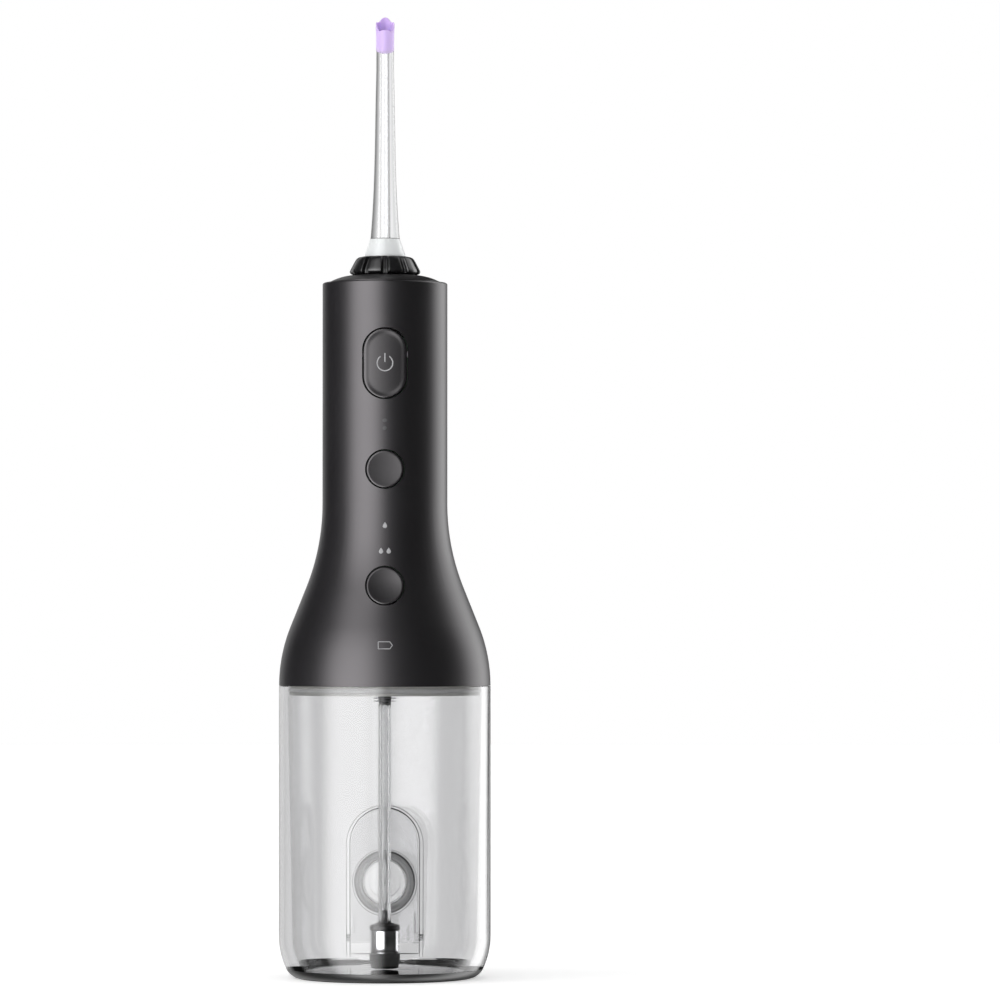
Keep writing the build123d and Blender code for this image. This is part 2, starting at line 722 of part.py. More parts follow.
button_heights = (power_z, pressure_z, mode_z)
switch_t = 1.5
with BuildPart() as tact_switches:
    for height in button_heights:
        add(block((-2.6, board_y - switch_t, height - 2.6), (2.6, board_y, height + 2.6)))
        with BuildSketch(front.offset(-board_y + switch_t)):
            with Locations((0, height)):
                Circle(1.3)
        extrude(amount=0.5)
finish(tact_switches, "tact_switches")

led_pitch = 3.0
led_low = (power_z - power_h / 2 + pressure_z + round_r - led_pitch) / 2
with BuildPart() as indicator_leds:
    for z in (led_low, led_low + led_pitch):
        add(block((-0.8, board_y - 0.7, z - 0.5), (0.8, board_y, z + 0.5)))
finish(indicator_leds, "indicator_leds")

with BuildPart() as charge_socket:
    add(block((-8.5, tank_r - 9.0, port_low - 1.2), (8.5, tank_r, port_high + 1.0)))
    add(handle_form(wall + 0.05), mode=Mode.INTERSECT)
    with BuildSketch(back.offset(tank_r - 8.0)):
        with Locations((0, seam + port_z)):
            SlotOverall(9.2, 3.4)
    extrude(amount=tank_r, mode=Mode.SUBTRACT)
    with Locations((0, tank_r - 6.0, seam + port_z)):
        Box(6.6, 4.6, 0.7)
finish(charge_socket, "charge_socket")

cover_hinge_z = port_low + 1.2
cover_hinge_y = tank_r - shoulder_r + sqrt(shoulder_r**2 - (cover_hinge_z - seam) ** 2) - 0.75
cover_h = port_high - door_gap - cover_hinge_z
cover_outline = RectangleRounded(13.4, cover_h, 1.3, mode=Mode.PRIVATE)
with BuildPart() as port_cover:
    add(skin_patch(cover_outline, cover_hinge_z + cover_h / 2, 0, wall - 0.1, back))
    add(lying(0.6, -3, 3, cover_hinge_z, cover_hinge_y))
    # finger notch in the upper edge of the outer face
    with Locations((0, tank_r, port_high - 1.6)):
        Box(5.0, 3.4, 0.7, mode=Mode.SUBTRACT)
finish(port_cover, "port_cover")


# ================= buttons =================
def press_button(outline, flange, height):
    """Flush cap, retaining flange behind the wall and a stem towards its switch."""
    stem_end = -board_y + switch_t + 0.5 + button_travel + 0.05
    with BuildPart() as piece:
        add(skin_patch(outline, height, 0, button_depth))
        add(skin_patch(flange, height, wall + 0.3, button_depth))
        with BuildSketch(front.offset(stem_end)):
            with Locations((0, height)):
                Circle(2.0)
        extrude(amount=2 * tank_r)
        add(handle_form(0), mode=Mode.INTERSECT)
    return piece.part


power_flange = SlotOverall(power_h + 2 * button_flange, power_w + 2 * button_flange, rotation=90,
                           mode=Mode.PRIVATE)
round_outline = Circle(round_r, mode=Mode.PRIVATE)
round_flange = Circle(round_r + button_flange, mode=Mode.PRIVATE)

with BuildPart() as power_button:
    add(press_button(power_outline, power_flange, power_z))
finish(power_button, "power_button")

with BuildPart() as pressure_button:
    add(press_button(round_outline, round_flange, pressure_z))
finish(pressure_button, "pressure_button")

with BuildPart() as mode_button:
    add(press_button(round_outline, round_flange, mode_z))
finish(mode_button, "mode_button")

# ================= turning ring =================
with BuildPart() as nozzle_ring:
    add(turned([(0, knob_low), (knob_r - 0.8, knob_low), (knob_r, knob_low + knob_edge),
                (knob_top_r + 0.5, knob_high - 0.6), (knob_top_r - 0.3, knob_high), (0, knob_high)]))
    lean = degrees(atan((knob_r - knob_top_r) / (knob_h - knob_edge)))
    for i in range(knob_lobes):
        groove = Pos(0, 0, knob_low + knob_edge) * Rot(0, 0, i * 360 / knob_lobes - 90)
        groove *= Pos(knob_r + 0.45, 0, 0) * Rot(0, -lean, 0)
        add(groove * Cylinder(groove_r, 4 * knob_h, mode=Mode.PRIVATE), mode=Mode.SUBTRACT)
    add(rod(hub_r, handle_top - 5.4, knob_low))
    add(rod(hub_r + 1.3, handle_top - 5.4, cap_low - 0.3))
    add(rod(stem_r + stem_fit, handle_top - 6, knob_high + 1), mode=Mode.SUBTRACT)
    add(rod(collar_r - 1.7, knob_high - 4.1, knob_high + 1), mode=Mode.SUBTRACT)
finish(nozzle_ring, "nozzle_ring")

# ================= nozzle =================
water_r = 1.2
seat_z = knob_high + 0.05
end_z = knob_high - stem_len
with BuildPart() as nozzle_base:
    add(turned([(water_r, end_z), (stem_r - 0.6, end_z), (stem_r, end_z + 0.6), (stem_r, end_z + 7),
                (stem_r - 0.8, end_z + 7), (stem_r - 0.8, end_z + 10), (stem_r, end_z + 10),
                (stem_r, knob_high - 4), (collar_r - 1.8, knob_high - 4), (collar_r - 1.8, seat_z),
                (collar_r, seat_z), (collar_r, seat_z + 0.7), (tube_base_r + 0.1, seat_z + collar_h),
                (tube_base_r - 1.0, seat_z + collar_h), (tube_base_r - 1.0, seat_z), (water_r, seat_z)]))
finish(nozzle_base, "nozzle_base")

with BuildPart() as nozzle_seal:
    add(turned([(stem_r - 0.78, end_z + 7.4), (stem_r + 0.02, end_z + 7.4), (stem_r + 0.04, end_z + 8.5),
                (stem_r + 0.02, end_z + 9.6), (stem_r - 0.78, end_z + 9.6)]))
finish(nozzle_seal, "nozzle_seal")

bend_z = knob_high + tube_straight
tube_foot = seat_z + collar_h
with BuildPart() as nozzle_tube:
    with BuildSketch(Plane.XZ):
        with BuildLine():
            Polyline((1.5, seat_z + 0.05), (tube_base_r - 1.03, seat_z + 0.05),
                     (tube_base_r - 1.03, tube_foot + 0.02), (tube_base_r, tube_foot + 0.02))
            Spline((tube_base_r, tube_foot + 0.02), (tube_base_r - 0.85, tube_foot + 12.6),
                   (tube_base_r - 1.36, tube_foot + 28.5), (tube_top_r, bend_z))
            Polyline((tube_top_r, bend_z), (1.15, bend_z), (1.5, seat_z + 0.05))
        make_face()
    revolve(axis=Axis.Z)
    with BuildSketch(Plane.XY.offset(bend_z)):
        Circle(tube_top_r)
        Circle(1.15, mode=Mode.SUBTRACT)
    revolve(axis=Axis((0, -bend_r, bend_z), (1, 0, 0)), revolution_arc=bend_angle)
    bend = radians(bend_angle)
    bend_end = (0, -bend_r * (1 - cos(bend)), bend_z + bend_r * sin(bend))
    with BuildSketch(Plane(origin=bend_end, x_dir=(1, 0, 0), z_dir=(0, -sin(bend), cos(bend)))):
        Circle(1.9)
        Circle(1.15, mode=Mode.SUBTRACT)
    extrude(amount=4.0)
finish(nozzle_tube, "nozzle_tube")

with BuildPart() as nozzle_tip:
    axis_dir = (0, -sin(bend), cos(bend))
    tip_plane = Plane(origin=bend_end, x_dir=(1, 0, 0), z_dir=axis_dir)
    with BuildSketch(Plane(origin=bend_end, x_dir=(1, 0, 0), z_dir=tip_plane.y_dir * -1)):
        with BuildLine():
            Polyline((1.95, 0.05), (tube_top_r, 0.05), (tube_top_r + 0.2, tip_len - 0.8),
                     (tube_top_r - 0.3, tip_len), (1.7, tip_len), (1.2, tip_len - 2.5), (1.0, 4.2),
                     (1.95, 4.2), close=True)
        make_face()
    revolve(axis=Axis(bend_end, axis_dir))
    for turn in (45, 135):
        with Locations(tip_plane.offset(tip_len) * Rot(0, 0, turn)):
            Box(8, 0.6, 3.0, mode=Mode.SUBTRACT)
finish(nozzle_tip, "nozzle_tip")

# ================= hanging hose and weight =================
with BuildPart() as suction_hose:
    add(rod(hose_r, weight_top, socket_ball_z - 0.4))
    add(rod(hose_bore, weight_top - 1, socket_ball_z + 1), mode=Mode.SUBTRACT)
    with Locations((0, 0, socket_ball_z)):
        Sphere(nipple_r + 0.15, mode=Mode.SUBTRACT)
finish(suction_hose, "suction_hose")

steel_low = 7.5
steel_high = 14.8
with BuildPart() as weight_cap:
    add(turned([(0.5, steel_high), (weight_r, steel_high), (weight_r + 0.2, steel_high + 0.4),
                (weight_r + 0.2, steel_high + 1.3), (weight_r - 0.3, steel_high + 1.8),
                (2.95, weight_top - 0.3), (2.85, weight_top), (hose_bore - 0.03, weight_top),
                (hose_bore - 0.03, weight_top + 4), (0.5, weight_top + 4)]))
finish(weight_cap, "weight_cap")

with BuildPart() as weight_body:
    add(turned([(1.5, steel_low), (weight_r, steel_low), (weight_r, steel_high), (1.5, steel_high)]))
finish(weight_body, "weight_body")

with BuildPart() as weight_foot:
    add(turned([(1.5, weight_bottom), (weight_r - 0.3, weight_bottom), (weight_r - 0.2, weight_bottom + 0.3),
                (weight_r + 0.25, steel_low - 1.0), (weight_r + 0.2, steel_low), (1.5, steel_low)]))
    with Locations((0, 0, weight_bottom)):
        Box(12, 1.6, 1.4, mode=Mode.SUBTRACT)
        Box(1.6, 12, 1.4, mode=Mode.SUBTRACT)
finish(weight_foot, "weight_foot")
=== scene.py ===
import bpy
import bmesh
import json
from math import cos, exp, pi, radians, sin, sqrt
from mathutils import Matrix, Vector
from mathutils.bvhtree import BVHTree


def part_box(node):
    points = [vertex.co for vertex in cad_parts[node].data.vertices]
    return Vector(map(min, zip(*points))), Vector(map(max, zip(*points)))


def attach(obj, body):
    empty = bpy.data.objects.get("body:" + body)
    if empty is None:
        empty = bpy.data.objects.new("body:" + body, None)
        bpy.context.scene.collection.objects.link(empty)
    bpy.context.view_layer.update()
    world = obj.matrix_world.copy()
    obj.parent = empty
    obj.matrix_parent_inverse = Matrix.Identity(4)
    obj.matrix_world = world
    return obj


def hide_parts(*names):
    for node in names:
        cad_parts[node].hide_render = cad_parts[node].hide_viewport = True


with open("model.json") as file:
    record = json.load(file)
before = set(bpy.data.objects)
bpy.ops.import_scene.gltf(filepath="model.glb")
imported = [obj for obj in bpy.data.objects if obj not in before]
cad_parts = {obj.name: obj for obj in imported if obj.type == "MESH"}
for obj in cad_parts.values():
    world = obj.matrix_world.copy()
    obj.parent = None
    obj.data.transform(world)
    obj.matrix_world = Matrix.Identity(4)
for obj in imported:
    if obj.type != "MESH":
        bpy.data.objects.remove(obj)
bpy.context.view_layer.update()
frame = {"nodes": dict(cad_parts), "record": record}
nodes = frame["nodes"]
mm = 0.001
print("frame loaded:", len(nodes), "nodes")


# camera, light and floor
studio = {
    "cameraHeight": 0.115,
    "cameraDistance": 1.70,
    "lookAt": (0.0365, 0.0, 0.1512),
    "lens": 193,
    "fill": 0.72,  # what the room gives to matte surfaces
    "gloom": 0.045,  # what shiny surfaces see between the panels
    "wallTone": 0.58,  # what shows inside the thickness of a clear wall
    "wallPasses": 3.5,  # a ray that has crossed fewer surfaces is still in the wall it first met
    "wallDepth": (-0.985, -0.955),  # forward parts of a ray's direction where that tone sets in
    "backTone": 0.95,  # what a ray meets that leaves at the back after a reflection inside the tank
    "backDepth": (0.35, 0.85),
    "sideways": (0.15, 0.8),  # sideways parts of a ray's direction where the room behind dims
    "rightDim": 0.35,
    "leftDim": 0.75,
    "floorHalf": 3.0,
    "floorTone": 0.92,
    "floorGlow": 0.42,  # keeps the paper as white as the room behind it
}
softBoxes = {  # the tall lamps that the shiny surfaces mirror, as parts of the room
    "key": {"azimuth": -36.5, "reach": 39.5, "radiance": 7.7},
    "rim": {"azimuth": 124, "reach": 30, "radiance": 3.4},
    "edge": {"azimuth": -160, "reach": 22, "radiance": 0.7},
}
boxFade = {"full": 0.30, "gone": 1.1}  # heights on the unit sphere where the boxes fade out
softPanel = {"azimuth": -75, "distance": 1.5, "width": 1.2, "height": 2.6, "centre": 0.8, "radiance": 1.5}


def feed(tree, socket, value):
    if isinstance(value, bpy.types.NodeSocket):
        tree.links.new(value, socket)
    else:
        socket.default_value = value


def mathNode(tree, operation, *values):
    node = tree.nodes.new("ShaderNodeMath")
    node.operation = operation
    for socket, value in zip(node.inputs, values):
        feed(tree, socket, value)
    return node.outputs["Value"]


def product(tree, first, *others):
    for value in others:
        first = mathNode(tree, "MULTIPLY", first, value)
    return first


def smoothNode(tree, value, low, high, atLow, atHigh):
    node = tree.nodes.new("ShaderNodeMapRange")
    node.interpolation_type = "SMOOTHSTEP"
    for label, given in (("Value", value), ("From Min", low), ("From Max", high),
                         ("To Min", atLow), ("To Max", atHigh)):
        feed(tree, node.inputs[label], given)
    return node.outputs["Result"]


def mixNode(tree, factor, first, second):
    node = tree.nodes.new("ShaderNodeMix")
    node.data_type = "RGBA"
    for label, given in (("Factor", factor), ("A", first), ("B", second)):
        feed(tree, node.inputs[label], given)
    return node.outputs["Result"]


def grey(tone):
    return (tone, tone, tone, 1)


def turnAway(holder, away):
    holder.rotation_euler = away.to_track_quat("Z", "Y").to_euler()


def makeCamera():
    camera = bpy.data.cameras.new("camera")
    camera.lens = studio["lens"]
    camera.sensor_width = 36
    holder = bpy.data.objects.new("camera", camera)
    holder.location = (0, -studio["cameraDistance"], studio["cameraHeight"])
    turnAway(holder, holder.location - Vector(studio["lookAt"]))
    bpy.context.collection.objects.link(holder)
    bpy.context.scene.camera = holder


def makeSoftPanel():
    lamp = bpy.data.lights.new("softPanel", "AREA")
    lamp.shape = "RECTANGLE"
    lamp.size = softPanel["width"]
    lamp.size_y = softPanel["height"]
    lamp.energy = softPanel["radiance"] * pi * softPanel["width"] * softPanel["height"]
    holder = bpy.data.objects.new("softPanel", lamp)
    turn = radians(softPanel["azimuth"])
    away = Vector((sin(turn), -cos(turn), 0))
    holder.location = away * softPanel["distance"] + Vector((0, 0, softPanel["centre"]))
    turnAway(holder, away)
    holder.visible_glossy = False  # it only lights matte surfaces
    holder.visible_transmission = False
    holder.visible_camera = False
    bpy.context.collection.objects.link(holder)


def makeWorld():
    world = bpy.data.worlds.new("studio")
    world.use_nodes = True
    world.cycles.sampling_method = "NONE"
    tree = world.node_tree
    tree.nodes.clear()
    place = tree.nodes.new("ShaderNodeTexCoord")
    split = tree.nodes.new("ShaderNodeSeparateXYZ")
    tree.links.new(place.outputs["Generated"], split.inputs["Vector"])
    across, deep, up = (split.outputs[axis] for axis in "XYZ")

    # the dim room with its tall lamps
    flat = mathNode(tree, "SQRT",
                    mathNode(tree, "ADD", product(tree, across, across), product(tree, deep, deep)))
    fade = smoothNode(tree, up, boxFade["full"], boxFade["gone"], 1.0, 0.0)
    lamps = studio["gloom"]
    for box in softBoxes.values():
        turn = radians(box["azimuth"])
        along = mathNode(tree, "SUBTRACT", product(tree, across, sin(turn)), product(tree, deep, cos(turn)))
        near = mathNode(tree, "DIVIDE", along, flat)
        shape = smoothNode(tree, near, cos(radians(box["reach"])), 1.0, 0.0, box["radiance"])
        lamps = mathNode(tree, "ADD", lamps, product(tree, shape, fade))

    # which kind of ray meets the room
    rays = tree.nodes.new("ShaderNodeLightPath")
    crossing = rays.outputs["Is Transmission Ray"]
    glossyHits = mathNode(tree, "GREATER_THAN", rays.outputs["Glossy Depth"], 0.5)
    mirrored = mathNode(tree, "MAXIMUM", rays.outputs["Is Glossy Ray"],
                        mathNode(tree, "SUBTRACT", glossyHits, rays.outputs["Is Diffuse Ray"]))
    shallow = mathNode(tree, "LESS_THAN", rays.outputs["Transmission Depth"], studio["wallPasses"])
    inWall = product(tree, crossing, shallow, glossyHits,
                     smoothNode(tree, deep, *studio["wallDepth"], 0.0, 1.0))
    leaving = product(tree, crossing, glossyHits, smoothNode(tree, deep, *studio["backDepth"], 0.0, 1.0))
    through = product(tree, crossing, mathNode(tree, "SUBTRACT", 1.0, glossyHits))

    # clear plastic shows the white room behind it, greyer towards the sides
    near, far = studio["sideways"]
    bright = product(tree, smoothNode(tree, across, near, far, 1.0, studio["rightDim"]),
                     smoothNode(tree, across, -near, -far, 1.0, studio["leftDim"]))

    colour = mixNode(tree, mirrored, grey(studio["fill"]), lamps)
    colour = mixNode(tree, inWall, colour, grey(studio["wallTone"]))
    colour = mixNode(tree, leaving, colour, grey(studio["backTone"]))
    colour = mixNode(tree, through, colour, bright)
    colour = mixNode(tree, rays.outputs["Is Camera Ray"], colour, grey(1.0))
    light = tree.nodes.new("ShaderNodeBackground")
    output = tree.nodes.new("ShaderNodeOutputWorld")
    tree.links.new(colour, light.inputs["Color"])
    tree.links.new(light.outputs["Background"], output.inputs["Surface"])
    bpy.context.scene.world = world


def makeFloor():
    half = studio["floorHalf"]
    mesh = bpy.data.meshes.new("floor")
    corners = [(-half, -half, 0), (half, -half, 0), (half, half, 0), (-half, half, 0)]
    mesh.from_pydata(corners, [], [(0, 1, 2, 3)])
    floor = bpy.data.objects.new("floor", mesh)
    bpy.context.collection.objects.link(floor)
    material = bpy.data.materials.new("floorPaper")
    material.use_nodes = True
    shader = material.node_tree.nodes["Principled BSDF"]
    shader.inputs["Base Color"].default_value = grey(studio["floorTone"])
    shader.inputs["Roughness"].default_value = 0.6
    shader.inputs["Specular IOR Level"].default_value = 0.2
    shader.inputs["Emission Color"].default_value = grey(1.0)
    shader.inputs["Emission Strength"].default_value = studio["floorGlow"]
    floor.data.materials.append(material)
    floor.visible_glossy = False
    floor.visible_transmission = False


makeCamera()
makeSoftPanel()
makeWorld()
makeFloor()
bpy.context.scene.view_settings.view_transform = "Standard"
print("stage ready")


# the grain that all finishes share
def newGroup(name, inputs, outputs):
    group = bpy.data.node_groups.new(name, "ShaderNodeTree")
    for label, kind, value in inputs:
        socket = group.interface.new_socket(label, in_out="INPUT", socket_type=kind)
        socket.default_value = value
    for label, kind in outputs:
        group.interface.new_socket(label, in_out="OUTPUT", socket_type=kind)
    return group, group.nodes.new("NodeGroupInput"), group.nodes.new("NodeGroupOutput")


def makeGrainGroup():
    group, source, sink = newGroup(
        "mouldGrain",
        [("Scale", "NodeSocketFloat", 900.0), ("Stretch", "NodeSocketVector", (1, 1, 1))],
        [("Height", "NodeSocketFloat"), ("Blotch", "NodeSocketFloat")],
    )
    place = group.nodes.new("ShaderNodeTexCoord")
    stretch = group.nodes.new("ShaderNodeVectorMath")
    stretch.operation = "MULTIPLY"
    feed(group, stretch.inputs[0], place.outputs["Object"])
    feed(group, stretch.inputs[1], source.outputs["Stretch"])
    for label, scale, detail in (("Height", source.outputs["Scale"], 3), ("Blotch", 45, 4)):
        noise = group.nodes.new("ShaderNodeTexNoise")
        feed(group, noise.inputs["Vector"], stretch.outputs["Vector"])
        feed(group, noise.inputs["Scale"], scale)
        feed(group, noise.inputs["Detail"], detail)
        feed(group, sink.inputs[label], noise.outputs["Fac"])
    return group


# what each plain socket of the shader is called in the finishes
plainSockets = {
    "Metallic": "metal", "Anisotropic": "brushed", "Transmission Weight": "clear", "IOR": "ior",
    "Coat Weight": "coat", "Subsurface Weight": "glow", "Specular IOR Level": "specular",
    "Specular Tint": "tint",
}


def makeFinish(name, values):
    material = bpy.data.materials.new(name)
    material.use_nodes = True
    tree = material.node_tree
    shader = tree.nodes["Principled BSDF"]
    grain = tree.nodes.new("ShaderNodeGroup")
    grain.node_tree = grainGroup
    grain.inputs["Scale"].default_value = values.get("grain", 1500.0)
    grain.inputs["Stretch"].default_value = values.get("stretch", (1, 1, 1))

    drift = values.get("drift", 0.06)
    darker = tuple(part * (1 - drift) for part in values["colour"]) + (1,)
    lighter = tuple(min(1.0, part * (1 + drift)) for part in values["colour"]) + (1,)
    colour = mixNode(tree, grain.outputs["Blotch"], darker, lighter)
    if "paintedRimShade" in values:  # painted shade: clear plastic is darkened along its edges, where the camera sees it edge-on
        facing = tree.nodes.new("ShaderNodeLayerWeight")
        facing.inputs["Blend"].default_value = 0.5
        rim = mathNode(tree, "POWER", facing.outputs["Facing"], values["rimFall"])
        colour = mixNode(tree, rim, colour, grey(values["paintedRimShade"]))
    feed(tree, shader.inputs["Base Color"], colour)

    rough = tree.nodes.new("ShaderNodeMapRange")
    spread = values.get("spread", 0.04)
    rough.inputs["To Min"].default_value = values["roughness"] - spread
    rough.inputs["To Max"].default_value = values["roughness"] + spread
    feed(tree, rough.inputs["Value"], grain.outputs["Blotch"])
    feed(tree, shader.inputs["Roughness"], rough.outputs["Result"])

    if "bump" in values:
        bump = tree.nodes.new("ShaderNodeBump")
        bump.inputs["Strength"].default_value = 1.0
        bump.inputs["Distance"].default_value = values["bump"] * mm
        feed(tree, bump.inputs["Height"], grain.outputs["Height"])
        feed(tree, shader.inputs["Normal"], bump.outputs["Normal"])

    for socket, key in plainSockets.items():
        if key in values:
            shader.inputs[socket].default_value = values[key]
    if "glow" in values:
        shader.inputs["Subsurface Scale"].default_value = 0.002
        shader.inputs["Subsurface Radius"].default_value = values["colour"]
    return material


finishes = {
    "satinShell": {"colour": (0.0065, 0.0062, 0.0070), "roughness": 0.38, "grain": 3200, "bump": 0.006,
                   "tint": (1.0, 0.955, 0.985, 1)},
    "satinButton": {"colour": (0.0065, 0.0062, 0.0070), "roughness": 0.36, "grain": 3200, "bump": 0.004,
                    "tint": (1.0, 0.965, 0.985, 1)},
    "glossBlack": {"colour": (0.0055, 0.0055, 0.006), "roughness": 0.31, "spread": 0.03},
    "baseBlack": {"colour": (0.008, 0.008, 0.008), "roughness": 0.34, "grain": 2200, "bump": 0.006},
    "softRubber": {"colour": (0.007, 0.007, 0.007), "roughness": 0.62, "grain": 1800, "bump": 0.012,
                   "specular": 0.25},
    # the edge grey of the clear finishes below is painted shade, laid on where they are seen edge-on
    "clearTank": {"colour": (0.79, 0.79, 0.795), "roughness": 0.012, "spread": 0.006, "drift": 0.004,
                  "clear": 1.0, "ior": 1.46, "paintedRimShade": 0.4, "rimFall": 2.6},
    "clearDoor": {"colour": (0.84, 0.84, 0.845), "roughness": 0.02, "spread": 0.008, "drift": 0.004,
                  "clear": 1.0, "ior": 1.46, "paintedRimShade": 0.2, "rimFall": 3.0},
    "clearTube": {"colour": (0.95, 0.955, 0.96), "roughness": 0.03, "spread": 0.01, "drift": 0.004,
                  "clear": 1.0, "ior": 1.44, "paintedRimShade": 0.06, "rimFall": 1.9},
    "milkyHose": {"colour": (0.95, 0.955, 0.955), "roughness": 0.14, "spread": 0.02, "drift": 0.01,
                  "clear": 0.92, "ior": 1.33, "paintedRimShade": 0.5, "rimFall": 2.2},
    "milkySilicone": {"colour": (0.60, 0.605, 0.605), "roughness": 0.35, "spread": 0.05, "drift": 0.02,
                      "clear": 0.85, "ior": 1.40, "paintedRimShade": 0.15, "rimFall": 2.5},
    "paleSilicone": {"colour": (0.80, 0.80, 0.80), "roughness": 0.4, "spread": 0.05, "drift": 0.02,
                     "glow": 0.3},
    "frostedRing": {"colour": (0.82, 0.825, 0.825), "roughness": 0.35, "spread": 0.05, "drift": 0.03,
                    "clear": 0.55, "ior": 1.40},
    "clearFace": {"colour": (0.93, 0.93, 0.93), "roughness": 0.08, "spread": 0.02, "drift": 0.01,
                  "clear": 1.0, "ior": 1.42},
    # flat dark greys for the lines of painted shade on and around the clear parts
    "shadeLine": {"colour": (0.10, 0.10, 0.10), "roughness": 0.4},
    "thinShade": {"colour": (0.32, 0.32, 0.32), "roughness": 0.4},
    "whitePlastic": {"colour": (0.80, 0.82, 0.82), "roughness": 0.32, "grain": 2400, "bump": 0.003,
                     "drift": 0.02, "glow": 0.15},
    "lilacSilicone": {"colour": (0.62, 0.47, 0.83), "roughness": 0.48, "grain": 2600, "bump": 0.006,
                      "drift": 0.03, "glow": 0.35},
    "polishedSteel": {"colour": (0.62, 0.62, 0.63), "roughness": 0.12, "metal": 1.0, "grain": 300,
                      "stretch": (1, 1, 30), "bump": 0.0015, "drift": 0.03, "brushed": 0.3},
    "greyPlastic": {"colour": (0.010, 0.010, 0.011), "roughness": 0.36, "grain": 2400, "bump": 0.004,
                    "specular": 0.3},
    "whiteNylon": {"colour": (0.72, 0.72, 0.69), "roughness": 0.42, "grain": 1800, "bump": 0.006,
                   "drift": 0.03},
    "zincSteel": {"colour": (0.55, 0.55, 0.57), "roughness": 0.3, "metal": 1.0, "grain": 900,
                  "bump": 0.003},
    "cellWrap": {"colour": (0.02, 0.16, 0.14), "roughness": 0.25, "coat": 0.4},
    "nickelStrip": {"colour": (0.62, 0.58, 0.5), "roughness": 0.28, "metal": 1.0, "bump": 0.003},
    "greenBoard": {"colour": (0.012, 0.10, 0.035), "roughness": 0.35, "coat": 0.5, "drift": 0.12},
    "blackMoulding": {"colour": (0.012, 0.012, 0.012), "roughness": 0.5, "bump": 0.006},
    "lampLens": {"colour": (0.82, 0.86, 0.9), "roughness": 0.1, "clear": 0.6, "ior": 1.5},
    "printGrey": {"colour": (0.36, 0.36, 0.37), "roughness": 0.5},
    "printDark": {"colour": (0.03, 0.03, 0.032), "roughness": 0.5},
}
finishOfSlot = {
    "clear_tank": "clearTank", "clear_nozzle": "clearTube", "base_black": "baseBlack",
    "foot_rubber": "softRubber", "plug_silicone": "milkySilicone", "handle_satin": "satinShell",
    "button_satin": "satinButton", "ring_gloss": "glossBlack", "nozzle_white": "whitePlastic",
    "tip_lilac": "lilacSilicone",
    "seal_rubber": "softRubber", "hose_clear": "milkyHose", "weight_steel": "polishedSteel",
    "weight_plastic": "greyPlastic", "inner_plastic": "whiteNylon", "screw_steel": "zincSteel",
    "valve_ball": "polishedSteel", "cell_wrap": "cellWrap", "contact_nickel": "nickelStrip",
    "board_green": "greenBoard", "switch_black": "blackMoulding", "led_lens": "lampLens",
}
finishOfNode = {"door_panel": "clearDoor", "tank_seal": "paleSilicone"}  # these differ from their slot

grainGroup = makeGrainGroup()
made = {name: makeFinish(name, values) for name, values in finishes.items()}
slotOfNode = {row["node"]: row["material_slot"] for row in frame["record"]["subparts"]}
for nodeName, nodeObject in nodes.items():
    finish = finishOfNode.get(nodeName, finishOfSlot[slotOfNode[nodeName]])
    for materialSlot in nodeObject.material_slots:
        materialSlot.material = made[finish]
print("finishes on the carried nodes")


# mesh helpers
def addMesh(name, skin, finish, body, smooth=True):
    points, faces = skin
    mesh = bpy.data.meshes.new(name)
    mesh.from_pydata(points, [], faces)
    shape = bmesh.new()
    shape.from_mesh(mesh)
    bmesh.ops.remove_doubles(shape, verts=shape.verts, dist=1e-7)
    bmesh.ops.recalc_face_normals(shape, faces=shape.faces)
    shape.to_mesh(mesh)
    shape.free()
    for face in mesh.polygons:
        face.use_smooth = smooth
    piece = bpy.data.objects.new(name, mesh)
    bpy.context.collection.objects.link(piece)
    mesh.materials.append(made[finish])
    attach(piece, body)
    return piece


def fullTurn(steps):
    return [2 * pi * i / steps for i in range(steps)]


def lathe(profile, steps=96, foot=0.0):
    # rings round the z axis through (radius, height) in millimetres, from the height of the foot
    return [[(radius * mm * cos(angle), radius * mm * sin(angle), height * mm + foot)
             for angle in fullTurn(steps)] for radius, height in profile]


def skinOver(rings, closed=True, looped=False, capStart=False, capEnd=False):
    # closed joins the two ends of each ring, looped joins the last ring to the first
    if looped:
        rings = rings + rings[:1]
    points = [point for ring in rings for point in ring]
    count = len(rings[0])
    faces = []
    for row in range(len(rings) - 1):
        for i in range(count if closed else count - 1):
            j = (i + 1) % count
            faces.append((row * count + i, row * count + j, (row + 1) * count + j, (row + 1) * count + i))
    if capStart:
        faces.append(tuple(range(count))[::-1])
    if capEnd:
        faces.append(tuple(range(len(points) - count, len(points))))
    return points, faces


def rayTree(piece):
    mesh = piece.data
    return BVHTree.FromPolygons([v.co.copy() for v in mesh.vertices],
                                [tuple(face.vertices) for face in mesh.polygons])


def frontPoint(tree, x, z, lift=0.0):
    hit, normal, _, _ = tree.ray_cast(Vector((x, -1, z)), Vector((0, 1, 0)))
    if normal.y > 0:
        normal = -normal
    return hit + normal * lift


def acrossPath(path, i, closed):
    # unit vector across a path of (x, z) points
    count = len(path)
    before = path[(i - 1) % count] if closed or i > 0 else path[i]
    after = path[(i + 1) % count] if closed or i < count - 1 else path[i]
    return Vector((before[1] - after[1], after[0] - before[0])).normalized()


# buttons
buttonShape = {
    "flange": 1.0 * mm,  # hidden rim round the part that shows
    "edge": 0.45 * mm,  # rounding of the rim
    "edgeRings": 5,
    "faceRings": 14,
    "innermost": 0.985,  # share of the way in where the cap closes
    "skirt": 2.9 * mm,
    "probe": 0.02 * mm,  # how far inside its outline the carried button is felt for
    "flatRise": 6,  # the flattening is full after a sixth of the way in
}
buttons = {
    "power_button": {"flatten": 0.50 * mm, "dish": 0.15 * mm},
    "pressure_button": {"flatten": 0.0, "dish": 0.95 * mm},
    "mode_button": {"flatten": 0.0, "dish": 0.95 * mm},
}


